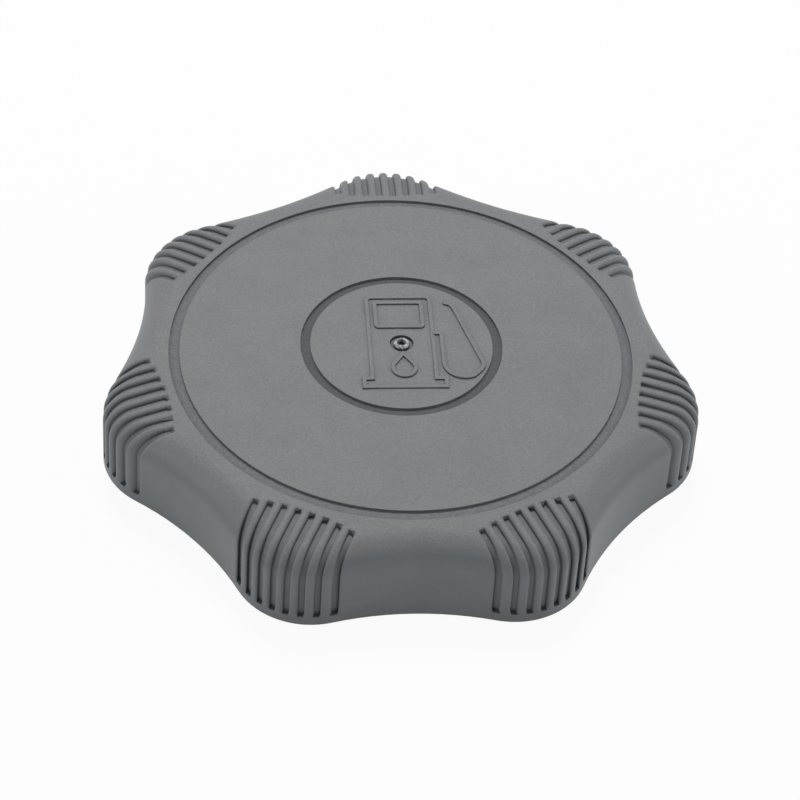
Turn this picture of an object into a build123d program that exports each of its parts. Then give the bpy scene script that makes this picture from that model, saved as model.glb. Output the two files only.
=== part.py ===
from build123d import *
import math
import os

# Vented, ratcheting screw cap for the filler neck of a diesel tank. All sizes are in millimetres.
# The axis is Z. The origin lies on it in the plane of the skirt's lower rim, and one lobe points to +Y.

# ---- cover: outline and crown ----
lobe_count = 7
lobe_tip_radius = 56.2        # from the axis to the tip of a lobe
valley_radius = 49.7          # from the axis to the bottom of a valley
lobe_nose_radius = 14.2       # rounding of a lobe, seen from above
crown_height = 20.1           # middle of the top above the rim
crown_radius = 395.0          # doming of the top inside the outer ring groove
border_radius = 100.0         # doming of the top outside it
shoulder_radius = 5.7
shell_wall = 2.5
rim_rounding = 0.8

# ---- cover: grip grooves ----
grooves_per_lobe = 8
groove_pitch = 2.63
groove_width = 1.05
groove_depth = 0.8
groove_start = 45.2           # from the axis to the upper end of the middle grooves
groove_fan = 0.0117           # outward shift of an upper end, per square millimetre off the lobe's middle
groove_end_height = 2.4       # plain band left above the rim

# ---- cover: ring grooves and gate mark ----
outer_ring_radius = 43.0
outer_ring_width = 2.0
inner_ring_radius = 18.7
inner_ring_width = 1.8
ring_groove_depth = 0.45
gate_dimple_radius = 2.2
gate_dimple_depth = 0.5
gate_stub_radius = 1.5
gate_stub_hole_radius = 0.5
gate_stub_height = 0.75       # above the dimple's floor
gate_stub_chamfer = 0.3

# ---- cover: walls and ribs inside ----
ratchet_wall = 1.8
ratchet_wall_end = 3.0        # lower end above the rim
hub_wall = 2.0
outer_rib_thickness = 1.6
outer_rib_end = 4.2
inner_rib_thickness = 1.4

# ---- torque ratchet ----
tooth_count = 36
tooth_height = 1.4
tooth_land_angle = 1.5
tooth_overlap = 0.4           # how far the teeth reach below the pawls
pawl_count = 6
pawl_ring_width = 2.4
pawl_ring_thickness = 1.6
finger_thickness = 1.2
finger_flex_gap = 1.1
finger_angle = 44.0
finger_root_angle = 7.0

# ---- retaining ring ----
ring_section_height = 1.6
ring_seat_height = 5.2        # underside of the ring above the rim
ring_groove_bite = 0.8
ring_gap_angle = 14.0

# ---- closure ----
bore_radius = 35.0            # plain wall between the turns of the neck thread
bore_wall = 3.0
closure_end = 0.7             # lower end above the rim
closure_chamfer = 0.8
thread_length = 7.5
thread_relief = 0.5           # run-out groove above the thread, which also holds the gasket
thrust_collar_width = 2.9
thrust_collar_thickness = 1.8
plate_thickness = 2.0
plate_top = 13.2
closure_rib_count = 24
closure_rib_thickness = 1.2
turret_outer = 15.4
turret_wall = 2.0
turret_roof = 1.2
turret_end = 10.2
stem_opening_radius = 3.6
vent_hole_radius = 0.9
vent_hole_circle = 9.6
vent_hole_count = 6
filter_wall = 1.4
filter_wall_end = 9.2
peg_radius = 0.8
peg_rise = 1.8

# ---- gasket, filter, baffle and slip washer ----
gasket_width = 6.6
gasket_bead_radius = 0.8
baffle_thickness = 0.9
baffle_slot_count = 12
baffle_slot_length = 6.0
baffle_slot_width = 1.6
baffle_leg_count = 3
baffle_leg_angle = 14.0
baffle_leg_height = 1.4
baffle_leg_thickness = 1.2
washer_thickness = 0.4

# ---- vent valve ----
cage_wall = 2.0
cage_floor = 0.8
cage_height = 4.0
port_radius = 6.0
seat_lip_width = 0.6
seat_lip_height = 0.4
oring_radius = 0.6            # of its round section
oring_height = 2.2            # middle of its groove above the cage's lower end
seal_thickness = 0.8
seal_inner = 3.6
seal_outer = 8.6
plate_disc_radius = 9.4
plate_disc_thickness = 0.8
plate_hub_wall = 0.8
plate_hub_drop = 0.4
plate_rim_width = 0.7
plate_rim_height = 0.5
plate_port_count = 4
plate_port_radius = 0.5
plate_port_circle = 2.7
stem_radius = 0.9
head_radius = 5.2
head_thickness = 0.5
head_lip_width = 0.5
head_lip_height = 0.3
stem_neck_depth = 0.3
stem_tail = 0.3               # stem left above the clip
clip_radius = 3.0
clip_thickness = 0.4
clip_slot_angle = 60.0
pressure_coil_radius = 6.5
pressure_wire_radius = 0.28
pressure_turns = 2.5
vacuum_coil_radius = 2.3
vacuum_wire_radius = 0.18
vacuum_turns = 2.0
vacuum_spring_length = 1.85

# ---- clearances ----
turn_clearance = 0.3          # between the cover and what turns inside it
slip_clearance = 0.2          # between the hub wall and the slip washer
hub_clearance = 0.8           # between the hub wall and the turret
ring_clearance = 0.7          # between the retaining ring and the closure's wall
finger_clearance = 0.8        # between the pawl fingers and the tooth crests
seat_clearance = 0.1          # between pieces that are pushed together
rubber_clearance = 0.3        # around the gasket and the foam
sliding_clearance = 0.1       # between the stem and its guide
contact_gap = 0.05            # between a shut valve and its seat, and at the ends of a spring
overrun = 1.0                 # how far a cutting shape runs past what it cuts

# ---- sizes that follow ----
closure_outer = bore_radius + bore_wall
thrust_collar_radius = closure_outer + thrust_collar_width
ratchet_wall_inner = thrust_collar_radius + turn_clearance
ratchet_wall_outer = ratchet_wall_inner + ratchet_wall
ratchet_wall_middle = ratchet_wall_inner + ratchet_wall / 2
ring_groove_radius = ratchet_wall_inner + ring_groove_bite
ring_top = ring_seat_height + ring_section_height
thrust_collar_bottom = ring_top + turn_clearance

tooth_pitch = 360 / tooth_count
tooth_crest = ratchet_wall_inner - tooth_height
plate_radius = tooth_crest - turn_clearance
finger_outer = tooth_crest - finger_clearance
finger_inner = finger_outer - finger_thickness
pawl_ring_outer = finger_inner - finger_flex_gap
pawl_ring_inner = pawl_ring_outer - pawl_ring_width
peg_circle = (pawl_ring_outer + pawl_ring_inner) / 2
pawl_top = plate_top + pawl_ring_thickness
peg_top = plate_top + peg_rise

plate_bottom = plate_top - plate_thickness
turret_inner = turret_outer - turret_wall
gasket_outer = bore_radius + thread_relief - rubber_clearance
gasket_inner = gasket_outer - gasket_width
filter_wall_outer = gasket_inner - rubber_clearance
filter_wall_inner = filter_wall_outer - filter_wall
baffle_leg_outer = filter_wall_inner - seat_clearance
baffle_leg_inner = baffle_leg_outer - baffle_leg_thickness
foam_outer = baffle_leg_inner - rubber_clearance
foam_inner = turret_outer + rubber_clearance
hub_wall_inner = turret_outer + hub_clearance
hub_wall_outer = hub_wall_inner + hub_wall
hub_wall_end = plate_top + washer_thickness + slip_clearance

cage_outer = turret_inner - seat_clearance
cage_inner = cage_outer - cage_wall
cage_floor_top = turret_end + cage_floor
seat_top = cage_floor_top + seat_lip_height
seal_bottom = seat_top + contact_gap
plate_disc_bottom = seal_bottom + seal_thickness
plate_disc_top = plate_disc_bottom + plate_disc_thickness
head_lip_top = seal_bottom - contact_gap
head_top = head_lip_top - head_lip_height
clip_bottom = plate_disc_top + vacuum_spring_length
clip_top = clip_bottom + clip_thickness
stem_top = clip_top + stem_tail
half_lobe_angle = 180 / lobe_count


def polar(radius, degrees):
    angle = math.radians(degrees)
    return (radius * math.cos(angle), radius * math.sin(angle))


def disc(radius, bottom, top):
    return Pos(0, 0, bottom) * extrude(Circle(radius), top - bottom)


def tube(outer, inner, bottom, top):
    return Pos(0, 0, bottom) * extrude(Circle(outer) - Circle(inner), top - bottom)


def sector(outer, inner, start, end, bottom, top):
    # piece of a tube between two angles
    middle = (start + end) / 2
    outside = ThreePointArc(polar(outer, start), polar(outer, middle), polar(outer, end))
    far_side = Line(polar(outer, end), polar(inner, end))
    inside = ThreePointArc(polar(inner, end), polar(inner, middle), polar(inner, start))
    near_side = Line(polar(inner, start), polar(outer, start))
    return Pos(0, 0, bottom) * extrude(make_face([outside, far_side, inside, near_side]), top - bottom)


def radial_rib(inner, outer, thickness, bottom, top):
    rib = Box(outer - inner, thickness, top - bottom, align=(Align.MIN, Align.CENTER, Align.MIN))
    return Pos(inner, 0, bottom) * rib


def around(shape, count, start=0.0):
    return [Rot(0, 0, start + step * 360 / count) * shape for step in range(count)]


def coil(radius, wire_radius, turns, bottom, top):
    rise = top - bottom - 2 * wire_radius
    path = Helix(rise / turns, rise, radius, center=(0, 0, bottom + wire_radius))
    section = Plane(origin=path @ 0, z_dir=path % 0) * Circle(wire_radius)
    return sweep(section, path)


# ---- form of the cover ----

def valley_arc_radius():
    # concave arc that runs tangentially into the noses of both neighbouring lobes
    nose_centre = lobe_tip_radius - lobe_nose_radius
    across = nose_centre * math.cos(math.radians(half_lobe_angle))
    top = lobe_nose_radius**2 - nose_centre**2 - valley_radius**2 + 2 * across * valley_radius
    return top / (2 * (valley_radius - across - lobe_nose_radius))


def lobed_outline(inset):
    nose = lobe_nose_radius - inset
    valley = valley_arc_radius() + inset
    nose_centre = Vector(lobe_tip_radius - lobe_nose_radius, 0)
    valley_centre = Vector(*polar(valley_radius + valley_arc_radius(), half_lobe_angle))
    meeting = nose_centre + (valley_centre - nose_centre) * (nose / (nose + valley))
    meeting_angle = math.degrees(math.atan2(meeting.Y, meeting.X))
    arcs = []
    for lobe in range(lobe_count):
        axis = 90 + lobe * 2 * half_lobe_angle
        nose_start = polar(meeting.length, axis - meeting_angle)
        nose_end = polar(meeting.length, axis + meeting_angle)
        valley_end = polar(meeting.length, axis + 2 * half_lobe_angle - meeting_angle)
        arcs.append(ThreePointArc(nose_start, polar(lobe_tip_radius - inset, axis), nose_end))
        arcs.append(ThreePointArc(nose_end, polar(valley_radius - inset, axis + half_lobe_angle), valley_end))
    return make_face(arcs)


def crown_z(radius, inset=0.0):
    # height of the top at a radius: a wide dome, and a tighter one from the outer ring groove outwards
    slope = math.asin(outer_ring_radius / crown_radius)
    border_centre_r = outer_ring_radius - border_radius * math.sin(slope)
    border_centre_z = crown_height - crown_radius + (crown_radius - border_radius) * math.cos(slope)
    if radius < knee_radius(inset):
        return crown_height - crown_radius + math.sqrt((crown_radius - inset)**2 - radius**2)
    return border_centre_z + math.sqrt((border_radius - inset)**2 - (radius - border_centre_r)**2)


def knee_radius(inset):
    return outer_ring_radius * (crown_radius - inset) / crown_radius


def crown_solid(inset, bottom):
    knee = knee_radius(inset)
    reach = lobe_tip_radius + overrun
    points = [(radius, 0, crown_z(radius, inset)) for radius in (0, knee / 2, knee, (knee + reach) / 2, reach)]
    crown = ThreePointArc(*points[:3])
    border = ThreePointArc(*points[2:])
    sides = Polyline(points[4], (reach, 0, bottom), (0, 0, bottom), points[0])
    return revolve(make_face([crown, border] + sides.edges()), Axis.Z)


def on_shoulder(edge):
    middle = edge.position_at(0.5)
    return math.hypot(middle.X, middle.Y) > outer_ring_radius + overrun and middle.Z > crown_height / 2


def lobed_solid(inset, bottom):
    prism = Pos(0, 0, bottom) * extrude(lobed_outline(inset), crown_height - bottom)
    body = prism & crown_solid(inset, bottom)
    return fillet(body.edges().filter_by(on_shoulder), shoulder_radius - inset)


def grip_cutters():
    # flat slots of one lobe, from their own starts outwards, down to an inset copy of the cover's form
    core = lobed_solid(groove_depth, -overrun)
    reach = lobe_tip_radius + overrun
    cutters = []
    for index in range(grooves_per_lobe):
        side = (index - (grooves_per_lobe - 1) / 2) * groove_pitch
        start = groove_start + groove_fan * side**2
        bar = Pos((start + reach) / 2, side) * Rectangle(reach - start, groove_width)
        plan = bar + Pos(start, side) * Circle(groove_width / 2)
        slot = Pos(0, 0, groove_end_height) * extrude(plan, crown_height)
        cutters.append(Rot(0, 0, 90) * slot - core)
    return cutters


def ring_cutter(outer_radius, width):
    band = tube(outer_radius, outer_radius - width, crown_height / 2, crown_height + overrun)
    return band - crown_solid(ring_groove_depth, 0)


def gate_stub():
    # torn end of the moulding gate, left standing in its dimple
    floor = crown_height - gate_dimple_depth
    stub = tube(gate_stub_radius, gate_stub_hole_radius, floor - gate_dimple_depth, floor + gate_stub_height)
    return chamfer(stub.edges().group_by(Axis.Z)[-1], gate_stub_chamfer)


def ratchet_teeth():
    # saw teeth pointing inwards: steep where the cap is unscrewed, sloped where it is tightened
    points = []
    for tooth in range(tooth_count):
        start = tooth * tooth_pitch
        points.append(polar(ratchet_wall_inner, start))
        points.append(polar(tooth_crest, start + tooth_pitch - tooth_land_angle))
        points.append(polar(tooth_crest, start + tooth_pitch))
    band = Circle(ratchet_wall_middle) - make_face(Polyline(*points, close=True))
    start_height = plate_top - tooth_overlap
    return Pos(0, 0, start_height) * extrude(band, crown_height - start_height)


def inside_walls(cavity):
    # walls and ribs that hang from the underside of the top
    ratchet = tube(ratchet_wall_outer, ratchet_wall_inner, ratchet_wall_end, crown_height)
    ratchet -= disc(ring_groove_radius, ring_seat_height, ring_top + seat_clearance)
    hub = tube(hub_wall_outer, hub_wall_inner, hub_wall_end, crown_height)
    outer_rib = radial_rib(ratchet_wall_middle, lobe_tip_radius, outer_rib_thickness, outer_rib_end, crown_height)
    inner_rib_start = hub_wall_inner + hub_wall / 2
    inner_rib_end = peg_top + turn_clearance
    inner_rib = radial_rib(inner_rib_start, ratchet_wall_middle, inner_rib_thickness, inner_rib_end, crown_height)
    walls = ratchet + ratchet_teeth() + hub
    walls += around(outer_rib, 2 * lobe_count, 90) + around(inner_rib, lobe_count, 90)
    return walls & cavity


def cover():
    outer = lobed_solid(0, 0)
    outer = fillet(outer.edges().group_by(Axis.Z)[0], rim_rounding)
    cutters = [copy for cutter in grip_cutters() for copy in around(cutter, lobe_count)]
    cutters.append(ring_cutter(outer_ring_radius, outer_ring_width))
    cutters.append(ring_cutter(inner_ring_radius, inner_ring_width))
    cutters.append(disc(gate_dimple_radius, crown_height - gate_dimple_depth, crown_height + overrun))
    cavity = lobed_solid(shell_wall, -overrun)
    return outer - cutters - cavity + inside_walls(cavity) + gate_stub()


# ---- what turns inside the cover ----

def retaining_ring():
    outer = ring_groove_radius - seat_clearance
    inner = closure_outer + ring_clearance
    half_gap = ring_gap_angle / 2
    return sector(outer, inner, half_gap, 360 - half_gap, ring_seat_height, ring_top)


def slip_washer():
    inner = turret_outer + turn_clearance
    outer = hub_wall_outer + turn_clearance
    return tube(outer, inner, plate_top, plate_top + washer_thickness)


def closure_body():
    turret_top = crown_z(turret_outer) - shell_wall - turn_clearance
    shell = tube(closure_outer, bore_radius, closure_end, plate_top)
    shell = chamfer(shell.edges().group_by(Axis.Z)[0].sort_by(SortBy.LENGTH)[-1], closure_chamfer)
    shell -= disc(bore_radius + thread_relief, closure_end + thread_length, plate_bottom)
    collar_top = thrust_collar_bottom + thrust_collar_thickness
    shell += tube(thrust_collar_radius, closure_outer - seat_clearance, thrust_collar_bottom, collar_top)
    shell += tube(plate_radius, turret_inner, plate_bottom, plate_top)
    rib = radial_rib(closure_outer - seat_clearance, plate_radius, closure_rib_thickness, collar_top, plate_bottom)
    shell += around(rib, closure_rib_count)
    shell += tube(filter_wall_outer, filter_wall_inner, filter_wall_end, plate_bottom)
    shell += tube(turret_outer, turret_inner, turret_end, turret_top)
    roof = tube(turret_outer, stem_opening_radius, turret_top - turret_roof, turret_top)
    hole = Pos(vent_hole_circle, 0) * disc(vent_hole_radius, 0, crown_height)
    shell += roof - around(hole, vent_hole_count)
    peg = Pos(peg_circle, 0) * disc(peg_radius, plate_top - seat_clearance, peg_top)
    return shell + around(peg, pawl_count, peg_angle())


def peg_angle():
    # pegs stand at the roots of the pawl fingers
    return finger_angle - finger_root_angle / 2


def pawl_finger():
    # curved strut from its root back to a tip that fills a tooth gap, one clearance away from the teeth
    slope_end = tooth_pitch - tooth_land_angle
    gap = [polar(finger_inner, 0), polar(ratchet_wall_inner, 0)]
    gap += [polar(tooth_crest, slope_end), polar(finger_inner, slope_end)]
    tip = offset(make_face(Polyline(*gap, close=True)), -turn_clearance, kind=Kind.INTERSECTION)
    root_start = finger_angle - finger_root_angle
    finger = sector(finger_outer, finger_inner, slope_end / 2, finger_angle, plate_top, pawl_top)
    finger += Pos(0, 0, plate_top) * extrude(tip, pawl_ring_thickness)
    return finger + sector(finger_outer, pawl_ring_inner, root_start, finger_angle, plate_top, pawl_top)


def pawl_ring():
    ring = tube(pawl_ring_outer, pawl_ring_inner, plate_top, pawl_top)
    ring += around(pawl_finger(), pawl_count)
    hole = Pos(peg_circle, 0) * disc(peg_radius + seat_clearance, 0, crown_height)
    return ring - around(hole, pawl_count, peg_angle())


def seal_ring():
    gasket = tube(gasket_outer, gasket_inner, filter_wall_end, plate_bottom)
    bead_circle = (gasket_outer + gasket_inner) / 2
    bead = Pos(0, 0, filter_wall_end + gasket_bead_radius / 2) * Torus(bead_circle, gasket_bead_radius)
    return gasket + bead


def foam_filter():
    return tube(foam_outer, foam_inner, filter_wall_end, plate_bottom)


def splash_baffle():
    bottom = filter_wall_end - baffle_thickness
    slot_circle = (foam_outer + foam_inner) / 2
    plate = disc(filter_wall_outer, bottom, filter_wall_end)
    slot = SlotOverall(baffle_slot_length, baffle_slot_width)
    slot = Pos(slot_circle, 0, bottom - overrun) * extrude(slot, baffle_thickness + 2 * overrun)
    leg_top = filter_wall_end + baffle_leg_height
    half_angle = baffle_leg_angle / 2
    leg = sector(baffle_leg_outer, baffle_leg_inner, -half_angle, half_angle, bottom, leg_top)
    return plate - around(slot, baffle_slot_count) + around(leg, baffle_leg_count)


# ---- vent valve ----

def oring_circle():
    return turret_inner - oring_radius - contact_gap


def valve_cage():
    cage = tube(cage_outer, cage_inner, turret_end, turret_end + cage_height)
    cage += tube(cage_outer, port_radius, turret_end, cage_floor_top)
    cage += tube(port_radius + seat_lip_width, port_radius, cage_floor_top, seat_top)
    groove_radius = oring_circle() - oring_radius - contact_gap
    half_width = oring_radius + contact_gap
    middle = turret_end + oring_height
    return cage - tube(turret_outer, groove_radius, middle - half_width, middle + half_width)


def cage_oring():
    return Pos(0, 0, turret_end + oring_height) * Torus(oring_circle(), oring_radius)


def valve_seal():
    return tube(seal_outer, seal_inner, seal_bottom, plate_disc_bottom)


def pressure_plate():
    guide_radius = stem_radius + sliding_clearance
    hub_radius = guide_radius + plate_hub_wall
    rim_inner = pressure_coil_radius + pressure_wire_radius + seat_clearance
    plate = disc(plate_disc_radius, plate_disc_bottom, plate_disc_top)
    plate += disc(hub_radius, plate_disc_bottom - plate_hub_drop, plate_disc_top)
    plate += tube(rim_inner + plate_rim_width, rim_inner, plate_disc_top, plate_disc_top + plate_rim_height)
    port = Pos(plate_port_circle, 0) * disc(plate_port_radius, 0, crown_height)
    plate -= around(port, plate_port_count)
    return plate - disc(guide_radius, 0, crown_height)


def pressure_spring():
    roof_bottom = crown_z(turret_outer) - shell_wall - turn_clearance - turret_roof
    low_end = plate_disc_top + contact_gap
    return coil(pressure_coil_radius, pressure_wire_radius, pressure_turns, low_end, roof_bottom - contact_gap)


def vacuum_valve():
    valve = disc(head_radius, head_top - head_thickness, head_top)
    valve += tube(head_radius, head_radius - head_lip_width, head_top, head_lip_top)
    valve += disc(stem_radius, head_top, stem_top)
    neck = tube(stem_radius + overrun, stem_radius - stem_neck_depth, clip_bottom, clip_top + contact_gap)
    return valve - neck


def spring_clip():
    # washer with an open side, pushed into the neck of the stem
    half_slot = clip_slot_angle / 2
    inner = stem_radius - stem_neck_depth + contact_gap
    return sector(clip_radius, inner, half_slot, 360 - half_slot, clip_bottom, clip_top)


def vacuum_spring():
    low_end = plate_disc_top + contact_gap
    return coil(vacuum_coil_radius, vacuum_wire_radius, vacuum_turns, low_end, clip_bottom - contact_gap)


def main():
    os.makedirs("parts", exist_ok=True)
    pieces = {
        "cover": cover,
        "retaining_ring": retaining_ring,
        "slip_washer": slip_washer,
        "closure_body": closure_body,
        "pawl_ring": pawl_ring,
        "seal_ring": seal_ring,
        "foam_filter": foam_filter,
        "splash_baffle": splash_baffle,
        "valve_cage": valve_cage,
        "cage_oring": cage_oring,
        "valve_seal": valve_seal,
        "pressure_plate": pressure_plate,
        "pressure_spring": pressure_spring,
        "vacuum_valve": vacuum_valve,
        "spring_clip": spring_clip,
        "vacuum_spring": vacuum_spring,
    }
    for name, build in pieces.items():
        export_step(build(), f"parts/{name}.step")
        print("built", name)


main()
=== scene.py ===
import math
import bmesh
import bpy
from mathutils import Matrix, Vector


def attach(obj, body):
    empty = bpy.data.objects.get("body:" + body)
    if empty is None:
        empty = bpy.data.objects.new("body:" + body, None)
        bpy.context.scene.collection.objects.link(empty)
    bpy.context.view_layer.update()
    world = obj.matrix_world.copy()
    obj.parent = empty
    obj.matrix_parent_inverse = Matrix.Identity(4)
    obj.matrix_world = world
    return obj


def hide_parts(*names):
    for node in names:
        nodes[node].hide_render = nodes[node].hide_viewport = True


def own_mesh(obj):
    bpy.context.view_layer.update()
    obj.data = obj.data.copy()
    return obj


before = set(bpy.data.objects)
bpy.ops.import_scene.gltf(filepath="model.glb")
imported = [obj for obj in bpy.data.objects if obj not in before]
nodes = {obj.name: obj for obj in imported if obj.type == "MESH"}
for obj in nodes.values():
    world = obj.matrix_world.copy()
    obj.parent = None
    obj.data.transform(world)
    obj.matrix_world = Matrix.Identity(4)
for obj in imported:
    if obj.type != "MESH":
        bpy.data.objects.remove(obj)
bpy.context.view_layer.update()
mm = 0.001
print("frame loaded:", len(nodes), "nodes")

# the cover's form, as the solids have it, in millimetres
capForm = {
    "crownHeight": 20.1,
    "crownRadius": 395.0,
}


def crownZ(x, y):
    radius = capForm["crownRadius"]
    return capForm["crownHeight"] - radius + math.sqrt(radius**2 - x * x - y * y)


# small helpers

def hexColor(text):
    channels = [int(text[i:i + 2], 16) / 255 for i in (1, 3, 5)]
    linear = [c / 12.92 if c <= 0.04045 else ((c + 0.055) / 1.055) ** 2.4 for c in channels]
    return (*linear, 1.0)


def addNode(tree, kind, settings=None, inputs=None):
    # settings go on the node; inputs are values, or output sockets of other nodes, by name or number
    node = tree.nodes.new("ShaderNode" + kind)
    for name, value in (settings or {}).items():
        setattr(node, name, value)
    for name, value in (inputs or {}).items():
        if isinstance(value, bpy.types.NodeSocket):
            tree.links.new(value, node.inputs[name])
        else:
            node.inputs[name].default_value = value
    return node


def newTree(name):
    material = bpy.data.materials.new(name)
    material.use_nodes = True
    material.node_tree.nodes.clear()
    return material, material.node_tree


def sortByPlace(parts, place):
    # operators may leave corners and faces in another order at each run
    order = sorted(parts, key=lambda part: tuple(place(part)))
    ranks = {part: rank for rank, part in enumerate(order)}
    parts.sort(key=ranks.get)


def addPiece(name, bm, material, body):
    # the finished mesh becomes an object at the origin that rides on a body
    sortByPlace(bm.verts, lambda vert: vert.co)
    sortByPlace(bm.faces, lambda face: face.calc_center_median())
    mesh = bpy.data.meshes.new(name)
    bm.to_mesh(mesh)
    bm.free()
    mesh.materials.append(material)
    piece = bpy.data.objects.new(name, mesh)
    bpy.context.collection.objects.link(piece)
    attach(piece, body)
    return piece


def smoothUpTo(bm, degrees):
    for face in bm.faces:
        face.smooth = True
    for edge in bm.edges:
        edge.smooth = edge.calc_face_angle(0) < math.radians(degrees)


# materials

noiseSpan = {"From Min": 0.3, "From Max": 0.7}    # nearly all of a noise pattern's values lie in this span

nylonLook = {
    "color": "#7d8285",
    "grainDark": "#6e6d6f",
    "grainPale": "#929193",
    "outerRingFloor": "#717478",
    "innerRingFloor": "#515458",
    "creviceShade": "#3a3c3f",
    # the gate: a pale ring of painted highlight, a dark hole of painted shade, and a painted half-shade
    # between
    "stubHighlight": "#cfd1d2",
    "gateHalfShade": "#77797c",
    "holeShade": "#37393c",
    "grainMm": 0.42,          # drawn coarser than the eroded grain is, so that it shows
    "mottleMm": 7.0,
    "ringGrainMm": 0.55,
    "gateBreakupMm": 0.5,
    "topBetween": (0.55, 0.95),     # upward part of the normal where the top's finish begins and is whole
    "grainShare": (0.12, 0.55),     # on the sides and on the top, as in the next two
    "bumpShare": (0.08, 0.5),
    "roughness": (0.42, 0.55),
    "roughnessSpread": 0.12,
    "mottleTone": (0.96, 1.04),
    "ringTone": (0.8, 1.2),
    "bumpMm": 0.06,
    "edgeRoundMm": 0.15,
    "creviceMm": 1.0,
    "openBetween": (0.35, 0.95),    # share of open sky where the painted crevice shade is darkest and where it ends
    "leastOpen": 0.3,
    "ringOpenness": 0.75,     # the painted shade is weaker in the shallow rings than in the grip grooves
    "outerRing": (41.0, 43.0),      # radii of its two walls
    "innerRing": (16.9, 18.7),
    "ringEdgeMm": 0.05,       # the walls lie within this of the rings' radii
    "stubRing": (0.85, 1.5),
    "topFrom": 14.0,          # the rings and the gate lie above this height
}


def glassFilledNylon():
    # grey PA6 with glass fibre, from a tool that is spark-eroded on top and drawn smooth down the sides:
    # the top is matt and grained, the sides are even and faintly glossy, and corners get a dark line of
    # painted shade
    look = nylonLook
    material, tree = newTree("glassFilledNylonMoulded")
    place = addNode(tree, "TexCoord").outputs
    split = addNode(tree, "SeparateXYZ", inputs={0: place["Object"]}).outputs
    upward = addNode(tree, "SeparateXYZ", inputs={0: place["Normal"]}).outputs["Z"]
    top = addNode(tree, "MapRange", {"interpolation_type": "SMOOTHSTEP"}, {
        "Value": upward,
        "From Min": look["topBetween"][0], "From Max": look["topBetween"][1]}).outputs["Result"]
    grain = addNode(tree, "TexNoise", inputs={
        "Vector": place["Object"], "Scale": 1 / (look["grainMm"] * mm), "Detail": 3.0,
        "Roughness": 0.6}).outputs["Fac"]
    mottle = addNode(tree, "TexNoise", inputs={
        "Vector": place["Object"], "Scale": 1 / (look["mottleMm"] * mm), "Detail": 3.0,
        "Roughness": 0.55}).outputs["Fac"]
    coarse = addNode(tree, "TexNoise", inputs={
        "Vector": place["Object"], "Scale": 1 / (look["ringGrainMm"] * mm), "Detail": 2.0,
        "Roughness": 0.7}).outputs["Fac"]

    speckle = addNode(tree, "MapRange", inputs={"Value": grain, **noiseSpan}).outputs["Result"]
    grained = addNode(tree, "Mix", {"data_type": "RGBA"}, {
        0: speckle, 6: hexColor(look["grainDark"]), 7: hexColor(look["grainPale"])}).outputs[2]
    share = addNode(tree, "MapRange", inputs={
        "Value": top, "To Min": look["grainShare"][0], "To Max": look["grainShare"][1]}).outputs["Result"]
    base = addNode(tree, "Mix", {"data_type": "RGBA"}, {
        0: share, 6: hexColor(look["color"]), 7: grained}).outputs[2]
    cloud = addNode(tree, "MapRange", inputs={
        "Value": mottle, **noiseSpan,
        "To Min": look["mottleTone"][0], "To Max": look["mottleTone"][1]}).outputs["Result"]
    base = addNode(tree, "VectorMath", {"operation": "SCALE"}, {0: base, "Scale": cloud}).outputs[0]

    # distance from the axis picks out the ring grooves and the gate, whose pale ring is painted highlight and
    # whose hole is painted shade
    flat = addNode(tree, "CombineXYZ", inputs={"X": split["X"], "Y": split["Y"]}).outputs[0]
    radius = addNode(tree, "VectorMath", {"operation": "LENGTH"}, {0: flat}).outputs["Value"]
    above = addNode(tree, "Math", {"operation": "GREATER_THAN"}, {
        0: split["Z"], 1: look["topFrom"] * mm}).outputs[0]

    def band(inner, outer):
        # 1 between two radii on the top, 0 elsewhere
        within = addNode(tree, "Math", {"operation": "COMPARE"}, {
            0: radius, 1: (inner + outer) / 2 * mm, 2: (outer - inner) / 2 * mm}).outputs[0]
        return addNode(tree, "Math", {"operation": "MULTIPLY"}, {0: within, 1: above}).outputs[0]

    edge = look["ringEdgeMm"]
    rings = (look["outerRing"], look["innerRing"])
    outerFloor, innerFloor = (band(inner + edge, outer - edge) for inner, outer in rings)
    outerWalls, innerWalls = (band(inner - edge, outer + edge) for inner, outer in rings)
    floors = addNode(tree, "Math", {"operation": "MAXIMUM"}, {0: outerFloor, 1: innerFloor}).outputs[0]
    walls = addNode(tree, "Math", {"operation": "MAXIMUM"}, {0: outerWalls, 1: innerWalls}).outputs[0]
    stub = band(*look["stubRing"])
    shadedHole = band(0, look["stubRing"][0])
    floorTone = addNode(tree, "MapRange", inputs={
        "Value": coarse, **noiseSpan,
        "To Min": look["ringTone"][0], "To Max": look["ringTone"][1]}).outputs["Result"]
    floorColor = addNode(tree, "Mix", {"data_type": "RGBA"}, {
        0: innerFloor, 6: hexColor(look["outerRingFloor"]), 7: hexColor(look["innerRingFloor"])}).outputs[2]
    floorColor = addNode(tree, "VectorMath", {"operation": "SCALE"}, {
        0: floorColor, "Scale": floorTone}).outputs[0]
    base = addNode(tree, "Mix", {"data_type": "RGBA"}, {0: floors, 6: base, 7: floorColor}).outputs[2]
    # the gate's painted highlight and painted shade, broken up by a noise
    gateBreakup = addNode(tree, "TexNoise", inputs={
        "Vector": place["Object"], "Scale": 1 / (look["gateBreakupMm"] * mm), "Detail": 2.0,
        "Roughness": 0.6}).outputs["Fac"]
    gateBreakup = addNode(tree, "MapRange", inputs={
        "Value": gateBreakup, "From Min": 0.4, "From Max": 0.6}).outputs["Result"]
    for mask, dark, pale in ((stub, "gateHalfShade", "stubHighlight"), (shadedHole, "holeShade", "gateHalfShade")):
        gateTones = addNode(tree, "Mix", {"data_type": "RGBA"}, {
            0: gateBreakup, 6: hexColor(look[dark]), 7: hexColor(look[pale])}).outputs[2]
        base = addNode(tree, "Mix", {"data_type": "RGBA"}, {0: mask, 6: base, 7: gateTones}).outputs[2]
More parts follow.
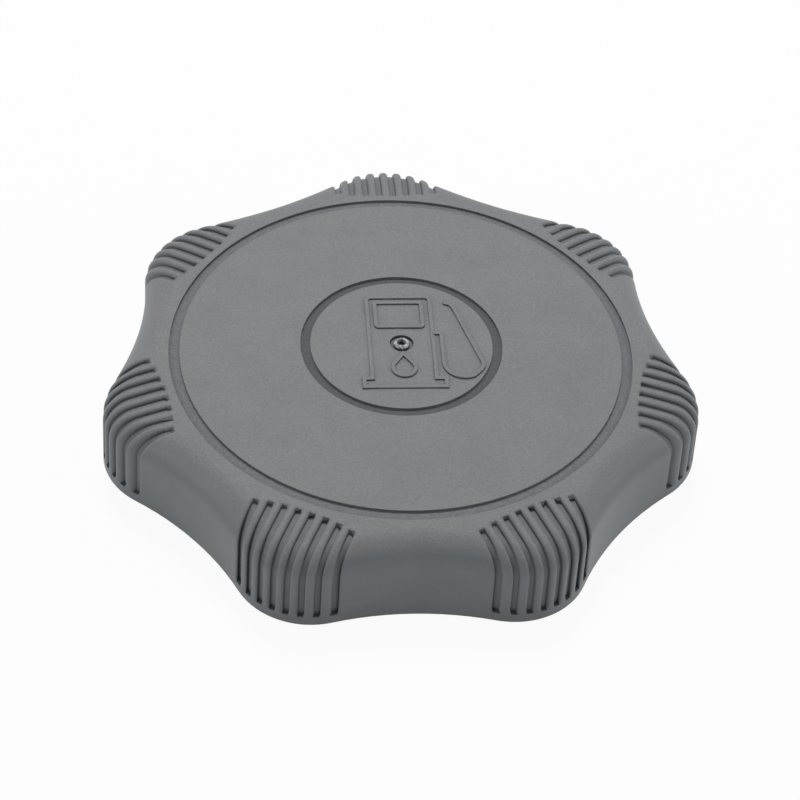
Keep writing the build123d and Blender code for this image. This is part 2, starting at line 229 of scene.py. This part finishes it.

    # painted shade: grooves and corners that little sky reaches get a darker colour
    sky = addNode(tree, "AmbientOcclusion", {"samples": 8}, {
        "Distance": look["creviceMm"] * mm}).outputs["AO"]
    openness = addNode(tree, "MapRange", inputs={
        "Value": sky, "From Min": look["openBetween"][0], "From Max": look["openBetween"][1],
        "To Min": look["leastOpen"], "To Max": 1.0}).outputs["Result"]
    ringOpen = addNode(tree, "Math", {"operation": "MULTIPLY"}, {
        0: walls, 1: look["ringOpenness"]}).outputs[0]
    openness = addNode(tree, "Math", {"operation": "MAXIMUM"}, {0: openness, 1: ringOpen}).outputs[0]
    base = addNode(tree, "Mix", {"data_type": "RGBA"}, {
        0: openness, 6: hexColor(look["creviceShade"]), 7: base}).outputs[2]

    rounded = addNode(tree, "Bevel", {"samples": 6}, {"Radius": look["edgeRoundMm"] * mm}).outputs[0]
    relief = addNode(tree, "MapRange", inputs={
        "Value": top, "To Min": look["bumpShare"][0], "To Max": look["bumpShare"][1]}).outputs["Result"]
    bump = addNode(tree, "Bump", inputs={
        "Strength": relief, "Distance": look["bumpMm"] * mm, "Height": grain, "Normal": rounded}).outputs[0]
    matt = addNode(tree, "MapRange", inputs={
        "Value": top, "To Min": look["roughness"][0], "To Max": look["roughness"][1]}).outputs["Result"]
    matt = addNode(tree, "Math", {"operation": "MULTIPLY_ADD"}, {
        0: grain, 1: look["roughnessSpread"], 2: matt}).outputs[0]
    shader = addNode(tree, "BsdfPrincipled", inputs={
        "Base Color": base, "Roughness": matt, "IOR": 1.53, "Specular IOR Level": 0.25,
        "Normal": bump}).outputs[0]
    addNode(tree, "OutputMaterial", inputs={"Surface": shader})
    return material


acetalLooks = {
    # acetal moulded in a polished tool: slippery, evenly coloured, with soft broad highlights
    "acetalBlackMoulded": {"color": "#26272a", "shade": "#1f2022", "flowMm": 9.0, "grainMm": 0.35,
                           "roughness": (0.32, 0.42), "bumpMm": 0.015},
    "acetalNaturalMoulded": {"color": "#dcd9ce", "shade": "#d2cec2", "flowMm": 7.0, "grainMm": 0.5,
                             "roughness": (0.29, 0.39), "bumpMm": 0.01},
}


def mouldedAcetal(name):
    look = acetalLooks[name]
    material, tree = newTree(name)
    place = addNode(tree, "TexCoord").outputs["Object"]
    grain = addNode(tree, "TexNoise", inputs={
        "Vector": place, "Scale": 1 / (look["grainMm"] * mm), "Detail": 3.0, "Roughness": 0.6}).outputs["Fac"]
    flow = addNode(tree, "TexNoise", inputs={
        "Vector": place, "Scale": 1 / (look["flowMm"] * mm), "Detail": 2.0, "Distortion": 0.6}).outputs["Fac"]
    tone = addNode(tree, "MapRange", inputs={"Value": flow, **noiseSpan}).outputs["Result"]
    base = addNode(tree, "Mix", {"data_type": "RGBA"}, {
        0: tone, 6: hexColor(look["shade"]), 7: hexColor(look["color"])}).outputs[2]
    bump = addNode(tree, "Bump", inputs={
        "Strength": 0.3, "Distance": look["bumpMm"] * mm, "Height": grain}).outputs[0]
    matt = addNode(tree, "MapRange", inputs={
        "Value": grain, **noiseSpan,
        "To Min": look["roughness"][0], "To Max": look["roughness"][1]}).outputs["Result"]
    shader = addNode(tree, "BsdfPrincipled", inputs={
        "Base Color": base, "Roughness": matt, "IOR": 1.48, "Normal": bump}).outputs[0]
    addNode(tree, "OutputMaterial", inputs={"Surface": shader})
    return material


rubberLook = {"color": "#1c1c1d", "bloom": "#2c2c2d", "bloomMm": 2.5, "grainMm": 0.2,
              "roughness": 0.66, "bloomRoughness": 0.12, "bumpMm": 0.02}


def nitrileRubber():
    # nitrile rubber, compression moulded: dull black with a faint grey bloom
    look = rubberLook
    material, tree = newTree("nitrileRubberMoulded")
    place = addNode(tree, "TexCoord").outputs["Object"]
    grain = addNode(tree, "TexNoise", inputs={
        "Vector": place, "Scale": 1 / (look["grainMm"] * mm), "Detail": 3.0, "Roughness": 0.7}).outputs["Fac"]
    bloom = addNode(tree, "TexNoise", inputs={
        "Vector": place, "Scale": 1 / (look["bloomMm"] * mm), "Detail": 4.0,
        "Roughness": 0.65}).outputs["Fac"]
    patch = addNode(tree, "MapRange", inputs={
        "Value": bloom, "From Min": 0.45, "From Max": 0.75}).outputs["Result"]
    base = addNode(tree, "Mix", {"data_type": "RGBA"}, {
        0: patch, 6: hexColor(look["color"]), 7: hexColor(look["bloom"])}).outputs[2]
    bump = addNode(tree, "Bump", inputs={
        "Strength": 0.4, "Distance": look["bumpMm"] * mm, "Height": grain}).outputs[0]
    matt = addNode(tree, "Math", {"operation": "MULTIPLY_ADD"}, {
        0: patch, 1: look["bloomRoughness"], 2: look["roughness"]}).outputs[0]
    shader = addNode(tree, "BsdfPrincipled", inputs={
        "Base Color": base, "Roughness": matt, "IOR": 1.52, "Normal": bump}).outputs[0]
    addNode(tree, "OutputMaterial", inputs={"Surface": shader})
    return material


foamLook = {"wall": "#46484c", "cellShade": "#1d1e20", "cellMm": 0.6, "pitBetween": (0.03, 0.3),
            "bumpMm": 0.25, "roughness": 0.95}


def filterFoam():
    # reticulated polyurethane foam, die-cut: open cells, their depth painted as dark shade between thin walls
    look = foamLook
    material, tree = newTree("polyurethaneFoamCut")
    place = addNode(tree, "TexCoord").outputs["Object"]
    cells = addNode(tree, "TexVoronoi", {"feature": "DISTANCE_TO_EDGE"}, {
        "Vector": place, "Scale": 1 / (look["cellMm"] * mm)}).outputs["Distance"]
    pit = addNode(tree, "MapRange", inputs={
        "Value": cells,
        "From Min": look["pitBetween"][0], "From Max": look["pitBetween"][1]}).outputs["Result"]
    base = addNode(tree, "Mix", {"data_type": "RGBA"}, {
        0: pit, 6: hexColor(look["wall"]), 7: hexColor(look["cellShade"])}).outputs[2]
    bump = addNode(tree, "Bump", {"invert": True}, {
        "Strength": 0.8, "Distance": look["bumpMm"] * mm, "Height": pit}).outputs[0]
    shader = addNode(tree, "BsdfPrincipled", inputs={
        "Base Color": base, "Roughness": look["roughness"], "IOR": 1.45, "Normal": bump}).outputs[0]
    addNode(tree, "OutputMaterial", inputs={"Surface": shader})
    return material


steelLooks = {
    # stainless steel: strip keeps its rolling lines, wire its fine draw marks, and both stay bright
    "stainlessStripRolled": {"color": "#b9b9b6", "shade": "#96968f", "lineMm": 0.12, "stretch": 14.0,
                             "roughness": 0.3, "roughnessSpread": 0.14, "bumpMm": 0.01},
    "stainlessWireDrawn": {"color": "#c8c8c4", "shade": "#9a9a95", "lineMm": 0.08, "stretch": 6.0,
                           "roughness": 0.22, "roughnessSpread": 0.14, "bumpMm": 0.01},
}


def brightSteel(name):
    look = steelLooks[name]
    material, tree = newTree(name)
    place = addNode(tree, "TexCoord").outputs["Object"]
    along = addNode(tree, "Mapping", inputs={
        "Vector": place, "Scale": (1.0, 1 / look["stretch"], 1.0)}).outputs[0]
    lines = addNode(tree, "TexNoise", inputs={
        "Vector": along, "Scale": 1 / (look["lineMm"] * mm), "Detail": 3.0, "Roughness": 0.7}).outputs["Fac"]
    tone = addNode(tree, "MapRange", inputs={"Value": lines, **noiseSpan}).outputs["Result"]
    base = addNode(tree, "Mix", {"data_type": "RGBA"}, {
        0: tone, 6: hexColor(look["shade"]), 7: hexColor(look["color"])}).outputs[2]
    matt = addNode(tree, "Math", {"operation": "MULTIPLY_ADD"}, {
        0: tone, 1: look["roughnessSpread"], 2: look["roughness"]}).outputs[0]
    bump = addNode(tree, "Bump", inputs={
        "Strength": 0.2, "Distance": look["bumpMm"] * mm, "Height": lines}).outputs[0]
    shader = addNode(tree, "BsdfPrincipled", inputs={
        "Base Color": base, "Metallic": 1.0, "Roughness": matt, "Normal": bump}).outputs[0]
    addNode(tree, "OutputMaterial", inputs={"Surface": shader})
    return material


nylon = glassFilledNylon()
blackAcetal = mouldedAcetal("acetalBlackMoulded")
naturalAcetal = mouldedAcetal("acetalNaturalMoulded")
rubber = nitrileRubber()
foam = filterFoam()
stripSteel = brightSteel("stainlessStripRolled")
wireSteel = brightSteel("stainlessWireDrawn")

finishes = {
    "cover": nylon,
    "closure_body": blackAcetal,
    "splash_baffle": blackAcetal,
    "pawl_ring": naturalAcetal,
    "slip_washer": naturalAcetal,
    "valve_cage": naturalAcetal,
    "pressure_plate": naturalAcetal,
    "vacuum_valve": naturalAcetal,
    "seal_ring": rubber,
    "cage_oring": rubber,
    "valve_seal": rubber,
    "foam_filter": foam,
    "retaining_ring": stripSteel,
    "spring_clip": stripSteel,
    "pressure_spring": wireSteel,
    "vacuum_spring": wireSteel,
}
for name, material in finishes.items():
    nodes[name].data.materials.clear()
    nodes[name].data.materials.append(material)
print("finishes given:", len(finishes))

# cover: the moulded solid, with the ribs between its grip grooves rounded over

ribForm = {
    "lobes": 7,
    "perLobe": 8,
    "pitch": 2.63,
    "width": 1.05,
    "start": 45.2,            # from the axis to the upper end of the middle grooves
    "fan": 0.0117,            # outward shift of an upper end, per square millimetre off the lobe's middle
    "lowEnd": 2.4,
    "roundMm": 0.65,
    "roundSteps": 4,
    "fadeMm": 0.8,            # the rounding dies out over this height at the lower ends
    "fadeCuts": (0, 0.33, 0.67, 1),
    "border": (43.2, 45.0),   # plain band of the top between the ring groove and the grip grooves
    "mergeMm": 0.002,
    "flatDeg": 1.0,           # facets this near to flat are joined first
    "cutMm": 0.001,           # corners this near to a cut are taken as on it
    "sharpDeg": 40.0,         # an edge this sharp ends the outer skin
    "smoothDeg": 32,
}


def grooveMiddles():
    return [(index - (ribForm["perLobe"] - 1) / 2) * ribForm["pitch"] for index in range(ribForm["perLobe"])]


def grooveStart(middle):
    return ribForm["start"] + ribForm["fan"] * middle**2


def grooveDistance(x, y):
    # from the nearest groove's outline, seen from above, with the lobe's middle along X
    away = [math.hypot(min(x - grooveStart(middle), 0), y - middle) for middle in grooveMiddles()]
    return min(away) - ribForm["width"] / 2


def groovePlanes(middle):
    # cuts beside and above one groove, on the lines where the rounding bends
    half = ribForm["width"] / 2
    count = ribForm["roundSteps"]
    steps = [ribForm["roundMm"] * (1 - math.cos(math.pi / 2 * i / count)) for i in range(1, count + 1)]
    beside = [Vector((0, middle + way * (half + step), 0)) for step in steps for way in (-1, 1)]
    above = [Vector((grooveStart(middle) - half - step, 0, 0)) for step in steps[1:]]
    return [(place, Vector((0, 1, 0))) for place in beside] + [(place, Vector((1, 0, 0))) for place in above]


def fadePlanes():
    levels = [ribForm["lowEnd"] + share * ribForm["fadeMm"] for share in ribForm["fadeCuts"]]
    return [(Vector((0, 0, level)), Vector((0, 0, 1))) for level in levels]


def cutFaces(bm, faces, planes, turn):
    # splits the faces that lie across each plane and gives back all of them
    for place, normal in planes:
        spot, across = turn @ place * mm, turn @ normal
        crossing, clear = [], []
        for face in faces:
            sides = [(vert.co - spot).dot(across) for vert in face.verts]
            (crossing if min(sides) < 0 < max(sides) else clear).append(face)
        if crossing:
            parts = dict.fromkeys(part for face in crossing for part in (*face.verts, *face.edges))
            cut = bmesh.ops.bisect_plane(
                bm, geom=[*crossing, *parts], dist=ribForm["cutMm"] * mm, plane_co=spot, plane_no=across)
            faces = clear + [part for part in cut["geom"] if isinstance(part, bmesh.types.BMFace)]
    return faces


def outerSkin(bm):
    # faces reached from the top's plain band without crossing a sharp edge
    low, high = ribForm["border"]
    band = [face for face in bm.faces if low < face.calc_center_median().xy.length / mm < high]
    waiting = [max(band, key=lambda face: face.calc_center_median().z)]
    skin = dict.fromkeys(waiting)
    while waiting:
        for edge in waiting.pop().edges:
            if edge.calc_face_angle(0) < math.radians(ribForm["sharpDeg"]):
                found = [face for face in edge.link_faces if face not in skin]
                skin.update(dict.fromkeys(found))
                waiting += found
    return list(skin)


def lobeTurn(lobe):
    # from a lobe along X to its place; the first lobe points along Y
    return Matrix.Rotation(math.radians(90 + lobe * 360 / ribForm["lobes"]), 3, "Z")


def skinByLobe(bm):
    lobes = {}
    for face in outerSkin(bm):
        middle = face.calc_center_median()
        turn = math.degrees(math.atan2(middle.y, middle.x)) - 90
        lobes.setdefault(round(turn * ribForm["lobes"] / 360) % ribForm["lobes"], []).append(face)
    return lobes


def cutSkin(bm, lobes, layer):
    # every lobe's skin is marked, and cut where the rounding of its grooves bends
    reach = ribForm["width"] / 2 + ribForm["roundMm"]
    for lobe, faces in lobes.items():
        for face in faces:
            face[layer] = 1
        turn = lobeTurn(lobe)
        aside = turn @ Vector((0, 1, 0))
        for middle in grooveMiddles():
            near, far = [], []
            for face in faces:
                offsets = [vert.co.dot(aside) / mm - middle for vert in face.verts]
                (near if min(offsets) < reach and max(offsets) > -reach else far).append(face)
            faces = far + cutFaces(bm, near, groovePlanes(middle), turn)
        lobes[lobe] = cutFaces(bm, faces, fadePlanes(), turn)


def ribDrop(spot):
    # how far a corner sinks, with the lobe's middle along X: by a quarter circle beside each groove
    form = ribForm
    away = max(grooveDistance(spot.x, spot.y), 0)
    if away >= form["roundMm"] or spot.z <= form["lowEnd"] + form["cutMm"]:
        return 0
    drop = form["roundMm"] - math.sqrt(form["roundMm"]**2 - (form["roundMm"] - away)**2)
    return drop * min((spot.z - form["lowEnd"]) / form["fadeMm"], 1)


def ribMoves(lobes, layer):
    # new places of the skin's corners, sunk into the rib and never sideways across it
    moves = {}
    for lobe, faces in lobes.items():
        turn = lobeTurn(lobe)
        back = turn.inverted()
        for vert in {vert for face in faces for vert in face.verts}:
            drop = ribDrop(back @ vert.co / mm)
            if drop:
                slopes = (face.normal * face.calc_area() for face in vert.link_faces if face[layer])
                outward = back @ sum(slopes, Vector())
                outward.y = 0
                moves[vert] = vert.co - turn @ outward.normalized() * drop * mm
    return moves


def roundedCover():
    bm = bmesh.new()
    bm.from_mesh(nodes["cover"].data)
    layer = bm.faces.layers.int.new("skin")
    bmesh.ops.remove_doubles(bm, verts=bm.verts, dist=ribForm["mergeMm"] * mm)
    bmesh.ops.dissolve_limit(
        bm, angle_limit=math.radians(ribForm["flatDeg"]), verts=bm.verts, edges=bm.edges, delimit=set())
    bm.normal_update()
    lobes = skinByLobe(bm)
    cutSkin(bm, lobes, layer)
    bm.normal_update()
    moves = ribMoves(lobes, layer)
    for vert, spot in moves.items():
        vert.co = spot
    bmesh.ops.recalc_face_normals(bm, faces=bm.faces)
    smoothUpTo(bm, ribForm["smoothDeg"])
    piece = addPiece("coverRounded", bm, nylon, "cover")
    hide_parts("cover")
    return len(moves)


print("cover corners moved:", roundedCover())

# neck thread: one ridge that winds up the closure's bore

threadForm = {
    "boreRadius": 35.0,
    "crestRadius": 33.9,
    "rootWidth": 2.2,
    "crestWidth": 0.9,
    "pitch": 4.0,
    "lowest": 1.9,            # middle of the ridge where it starts
    "highest": 6.9,
    "taperDeg": 18.0,
    "stepDeg": 4.0,
    "sunk": 0.05,             # the root goes this far into the bore's wall
    "mergeMm": 0.0005,
    "smoothDeg": 30,
}


def neckThread():
    form = threadForm
    turns = (form["highest"] - form["lowest"]) / form["pitch"]
    steps = round(turns * 360 / form["stepDeg"])
    root = form["boreRadius"] + form["sunk"]
    bm = bmesh.new()
    profile = [(root, -form["rootWidth"] / 2), (form["crestRadius"], -form["crestWidth"] / 2),
               (form["crestRadius"], form["crestWidth"] / 2), (root, form["rootWidth"] / 2)]
    corners = [bm.verts.new((r * mm, 0, (form["lowest"] + z) * mm)) for r, z in profile]
    section = bm.faces.new(corners)
    rise = (form["highest"] - form["lowest"]) / steps * mm
    bmesh.ops.spin(
        bm, geom=[section], cent=(0, 0, 0), axis=(0, 0, 1), dvec=(0, 0, rise),
        angle=turns * 2 * math.pi, steps=steps, use_merge=False, use_duplicate=False)
    risePerDegree = form["pitch"] / 360
    for vert in bm.verts:
        # how far along the ridge this corner lies, from its height and its direction
        angle = math.degrees(math.atan2(vert.co.y, vert.co.x)) % 360
        level = (vert.co.z / mm - form["lowest"]) / risePerDegree
        along = angle + 360 * round((level - angle) / 360)
        left = min(along, turns * 360 - along) / form["taperDeg"]
        if left < 1:
            radius = math.hypot(vert.co.x, vert.co.y) / mm
            moved = root - (root - radius) * max(left, 0)
            vert.co.x *= moved / radius
            vert.co.y *= moved / radius
    bmesh.ops.remove_doubles(bm, verts=bm.verts, dist=form["mergeMm"] * mm)
    bmesh.ops.recalc_face_normals(bm, faces=bm.faces)
    smoothUpTo(bm, form["smoothDeg"])
    addPiece("neckThreadRidge", bm, blackAcetal, "closure")
    return turns


print("neck thread turns:", neckThread())

# valve springs: coils between their seats, each riding on its valve

springForms = {
    # radius to the wire's middle, heights of both ends, and of the held end, which moves with the body
    "pressureSpringCoil": {
        "node": "pressure_spring", "body": "pressure_valve", "joint": "pressure_vent",
        "radius": 6.5, "wire": 0.56, "turns": 2.5, "low": 13.1, "high": 15.75, "held": 13.1, "travel": 1.2},
    "vacuumSpringCoil": {
        "node": "vacuum_spring", "body": "vacuum_valve", "joint": "vacuum_vent",
        "radius": 2.3, "wire": 0.36, "turns": 2.0, "low": 13.1, "high": 14.85, "held": 14.85, "travel": 0.8},
}
coilMesh = {"stepsPerTurn": 48, "wireSides": 14, "smoothDeg": 40}


def springCoil(name):
    form = springForms[name]
    steps = round(form["turns"] * coilMesh["stepsPerTurn"])
    length = form["high"] - form["low"]
    bm = bmesh.new()
    bmesh.ops.create_circle(bm, cap_ends=True, segments=coilMesh["wireSides"], radius=form["wire"] / 2 * mm)
    bmesh.ops.rotate(bm, verts=bm.verts, cent=(0, 0, 0), matrix=Matrix.Rotation(math.radians(90), 3, "X"))
    bmesh.ops.translate(
        bm, verts=bm.verts, vec=(form["radius"] * mm, 0, (form["low"] + form["wire"] / 2) * mm))
    rise = (length - form["wire"]) / steps * mm
    bmesh.ops.spin(
        bm, geom=bm.faces[:], cent=(0, 0, 0), axis=(0, 0, 1), dvec=(0, 0, rise),
        angle=form["turns"] * 2 * math.pi, steps=steps, use_merge=False, use_duplicate=False)
    bmesh.ops.recalc_face_normals(bm, faces=bm.faces)
    smoothUpTo(bm, coilMesh["smoothDeg"])
    piece = addPiece(name, bm, wireSteel, form["body"])
    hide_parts(form["node"])
    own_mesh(piece)
    return len(piece.data.polygons)


for name in springForms:
    print(name, "faces:", springCoil(name))

# fuel pictogram in relief on the crown, in millimetres from the axis

fuelSign = {
    "line": 0.75,
    "relief": 0.3,
    "edgeRound": 0.07,
    "sunk": 0.15,
    "body": (-5.9, 5.9, 12.6),             # middle lines of left wall, right wall and top
    "bodyCorner": 0.9,
    "foot": (-7.45, 7.65, -9.35, -11.45),  # left end, right end, upper and lower middle lines
    "window": (-4.45, 4.25, 4.4, 11.05),
    "windowCorner": 0.55,
    "drop": (0.1, -6.6, 2.1, -2.9),        # centre x and y, radius, tip y
    "hoseStub": 2.6,                       # y where the hose leaves the pump
    "hoseCorner": 0.5,
    "hose": (7.5, -5.4, 3.6, 300),         # x of the fall, y where the bend starts, its radius, last degree
    "hoseRise": ((14.35, -6.9), (14.75, -6.1), (14.8, -5.2), (10.3, 9.6)),
    "hoseHook": (8.6, 9.2, 1.75, 15, 95),  # centre x and y, radius, first and last degree
    "cornerSteps": 8,
    "windowSteps": 5,
    "hoseCornerSteps": 4,
    "bendSteps": 16,
    "dropSteps": 28,
    "mitreLimit": 0.3,                     # cosine of half a corner's turn where its mitre stops growing
    "mergeMm": 0.001,
    "smoothDeg": 35,
}


def arcPoints(cx, cy, radius, start, end, steps):
    angles = [math.radians(start + (end - start) * i / steps) for i in range(steps + 1)]
    return [(cx + radius * math.cos(a), cy + radius * math.sin(a)) for a in angles]


def offsetLine(points, distance, closed):
    # the same line moved sideways, with its corners mitred
    moved = []
    count = len(points)
    for i, point in enumerate(points):
        here = Vector(point)
        before = Vector(points[i - 1]) if closed or i > 0 else None
        after = Vector(points[(i + 1) % count]) if closed or i < count - 1 else None
        into = (here - before).normalized() if before else (after - here).normalized()
        out = (after - here).normalized() if after else into
        normal = Vector((-into.y - out.y, into.x + out.x)).normalized()
        side = Vector((-into.y, into.x))
        moved.append(here + normal * distance / max(normal.dot(side), fuelSign["mitreLimit"]))
    return moved


def strokeLoops(points, closed):
    half = fuelSign["line"] / 2
    left = offsetLine(points, half, closed)
    right = offsetLine(points, -half, closed)
    return [left, right] if closed else [left + right[::-1]]


def reliefPiece(name, loops):
    # a filled flat curve with rounded edges, made a mesh and laid on the crown
    curve = bpy.data.curves.new(name, "CURVE")
    curve.dimensions = "2D"
    curve.fill_mode = "BOTH"
    edge = fuelSign["edgeRound"] * mm
    curve.extrude = (fuelSign["relief"] + fuelSign["sunk"]) / 2 * mm - edge
    curve.bevel_depth = edge
    curve.bevel_resolution = 2
    curve.offset = -edge
    for loop in loops:
        spline = curve.splines.new("POLY")
        spline.points.add(len(loop) - 1)
        for point, (x, y) in zip(spline.points, loop):
            point.co = (x * mm, y * mm, 0, 1)
        spline.use_cyclic_u = True
    holder = bpy.data.objects.new(name, curve)
    bpy.context.collection.objects.link(holder)
    bpy.context.view_layer.update()
    mesh = bpy.data.meshes.new_from_object(holder)
    bpy.data.objects.remove(holder)
    bm = bmesh.new()
    bm.from_mesh(mesh)
    bpy.data.meshes.remove(mesh)
    bmesh.ops.remove_doubles(bm, verts=bm.verts, dist=fuelSign["mergeMm"] * mm)
    middle = (fuelSign["relief"] - fuelSign["sunk"]) / 2
    for vert in bm.verts:
        vert.co.z += (crownZ(vert.co.x / mm, vert.co.y / mm) + middle) * mm
    bmesh.ops.recalc_face_normals(bm, faces=bm.faces)
    smoothUpTo(bm, fuelSign["smoothDeg"])
    addPiece(name, bm, nylon, "cover")


def pumpBody():
    left, right, top = fuelSign["body"]
    footLeft, footRight, footTop, footEnd = fuelSign["foot"]
    corner, steps = fuelSign["bodyCorner"], fuelSign["cornerSteps"]
    line = [(footLeft, footEnd), (footRight, footEnd), (footRight, footTop), (right, footTop)]
    line += arcPoints(right - corner, top - corner, corner, 0, 90, steps)
    line += arcPoints(left + corner, top - corner, corner, 90, 180, steps)
    line += [(left, footTop), (footLeft, footTop)]
    return strokeLoops(line, True)


def pumpWindow():
    left, right, low, top = fuelSign["window"]
    corner, steps = fuelSign["windowCorner"], fuelSign["windowSteps"]
    line = arcPoints(right - corner, top - corner, corner, 0, 90, steps)
    line += arcPoints(left + corner, top - corner, corner, 90, 180, steps)
    line += arcPoints(left + corner, low + corner, corner, 180, 270, steps)
    line += arcPoints(right - corner, low + corner, corner, 270, 360, steps)
    return strokeLoops(line, True)


def fuelDrop():
    x, y, radius, tip = fuelSign["drop"]
    # the sides run from the tip tangentially into the round end
    angle = math.degrees(math.acos(radius / (tip - y)))
    line = arcPoints(x, y, radius, 90 + angle, 360 + 90 - angle, fuelSign["dropSteps"])
    return strokeLoops(line + [(x, tip)], True)


def pumpHose():
    fall, bendStart, bend, bendEnd = fuelSign["hose"]
    right = fuelSign["body"][1]
    stub, corner = fuelSign["hoseStub"], fuelSign["hoseCorner"]
    line = [(right, stub), (fall - corner, stub)]
    line += arcPoints(fall - corner, stub - corner, corner, 90, 0, fuelSign["hoseCornerSteps"])[1:]
    line += arcPoints(fall + bend, bendStart, bend, 180, bendEnd, fuelSign["bendSteps"])
    line += fuelSign["hoseRise"]
    line += arcPoints(*fuelSign["hoseHook"], fuelSign["cornerSteps"])
    return strokeLoops(line, False)


for name, loops in (
    ("pumpBodyRelief", pumpBody()),
    ("pumpWindowRelief", pumpWindow()),
    ("fuelDropRelief", fuelDrop()),
    ("pumpHoseRelief", pumpHose()),
):
    reliefPiece(name, loops)
print("pictogram laid on the crown")

# floor, light and camera

studio = {
    "floor": "#f0f0f0",
    "floorSize": 4.0,         # metres
    "floorDrop": 0.05,        # millimetres below the cap
    "glowShare": 0.94,
    "domeStrength": 0.2,
    "lamps": {
        # place and size in metres, power in watts
        "topSoftbox": ((0.0, 0.8, 1.4), 0.5, 16.0),
        "leftSoftbox": ((-1.1, -0.3, 0.35), 0.7, 2.7),
        "rightSoftbox": ((1.1, -0.3, 0.35), 0.7, 3.0),
    },
}


def raysThatSee(tree):
    # 1 for rays from the camera, off gloss and through clear things, 0 for those that light a surface
    rays = addNode(tree, "LightPath").outputs
    direct = addNode(tree, "Math", {"operation": "MAXIMUM"}, {
        0: rays["Is Camera Ray"], 1: rays["Is Glossy Ray"]}).outputs[0]
    return addNode(tree, "Math", {"operation": "MAXIMUM"}, {
        0: direct, 1: rays["Is Transmission Ray"]}).outputs[0]


def paleFloor():
    # white to the eye and in reflections, while a share of the lit card keeps the object's shadow
    material, tree = newTree("floorPaleCard")
    card = addNode(tree, "BsdfDiffuse", inputs={"Color": hexColor(studio["floor"])}).outputs[0]
    glow = addNode(tree, "Emission", inputs={"Color": (1, 1, 1, 1), "Strength": 1.0}).outputs[0]
    share = addNode(tree, "Math", {"operation": "MULTIPLY"}, {
        0: raysThatSee(tree), 1: studio["glowShare"]}).outputs[0]
    mixed = addNode(tree, "MixShader", inputs={0: share, 1: card, 2: glow}).outputs[0]
    addNode(tree, "OutputMaterial", inputs={"Surface": mixed})
    bm = bmesh.new()
    bmesh.ops.create_grid(bm, x_segments=1, y_segments=1, size=studio["floorSize"] / 2)
    bmesh.ops.translate(bm, verts=bm.verts, vec=(0, 0, -studio["floorDrop"] * mm))
    mesh = bpy.data.meshes.new("floor")
    bm.to_mesh(mesh)
    bm.free()
    mesh.materials.append(material)
    floor = bpy.data.objects.new("floor", mesh)
    bpy.context.collection.objects.link(floor)


def softSky():
    # an even dome of light, seen as white
    world = bpy.data.worlds.new("studioSky")
    world.use_nodes = True
    tree = world.node_tree
    tree.nodes.clear()
    dome = addNode(tree, "Background", inputs={
        "Color": (1, 1, 1, 1), "Strength": studio["domeStrength"]}).outputs[0]
    white = addNode(tree, "Background", inputs={"Color": (1, 1, 1, 1), "Strength": 1.0}).outputs[0]
    mixed = addNode(tree, "MixShader", inputs={0: raysThatSee(tree), 1: dome, 2: white}).outputs[0]
    addNode(tree, "OutputWorld", inputs={"Surface": mixed})
    bpy.context.scene.world = world


def areaLamp(name, place, size, power):
    lamp = bpy.data.lights.new(name, "AREA")
    lamp.shape = "DISK"
    lamp.size = size
    lamp.energy = power
    holder = bpy.data.objects.new(name, lamp)
    bpy.context.collection.objects.link(holder)
    holder.location = place
    holder.rotation_euler = (-Vector(place)).to_track_quat("-Z", "Y").to_euler()


view = {
    "lens": 158.9,
    "sensor": 36,
    "distance": 0.645,        # metres
    "elevation": 43.98,
    "azimuth": -96.31,        # of the camera, counted from +X
    "roll": 3.87,
    "target": (-0.99, -12.64, 17.75),     # millimetres
    "clipStart": 0.01,
}


def placeCamera():
    azimuth, elevation, roll = (math.radians(view[key]) for key in ("azimuth", "elevation", "roll"))
    level = Vector((math.cos(azimuth), math.sin(azimuth), 0))
    back = level * math.cos(elevation) + Vector((0, 0, math.sin(elevation)))
    right = Vector((0, 0, 1)).cross(back).normalized()
    up = back.cross(right)
    across = right * math.cos(roll) + up * math.sin(roll)
    upward = up * math.cos(roll) - right * math.sin(roll)
    data = bpy.data.cameras.new("camera")
    data.lens = view["lens"]
    data.sensor_width = view["sensor"]
    data.clip_start = view["clipStart"]
    camera = bpy.data.objects.new("camera", data)
    bpy.context.collection.objects.link(camera)
    turn = Matrix((across, upward, back)).transposed().to_4x4()
    spot = Vector(view["target"]) * mm + back * view["distance"]
    camera.matrix_world = Matrix.Translation(spot) @ turn
    bpy.context.scene.camera = camera


paleFloor()
softSky()
for name, (place, size, power) in studio["lamps"].items():
    areaLamp(name, place, size, power)
placeCamera()
bpy.context.scene.view_settings.view_transform = "Standard"
print("stage, light and camera set")
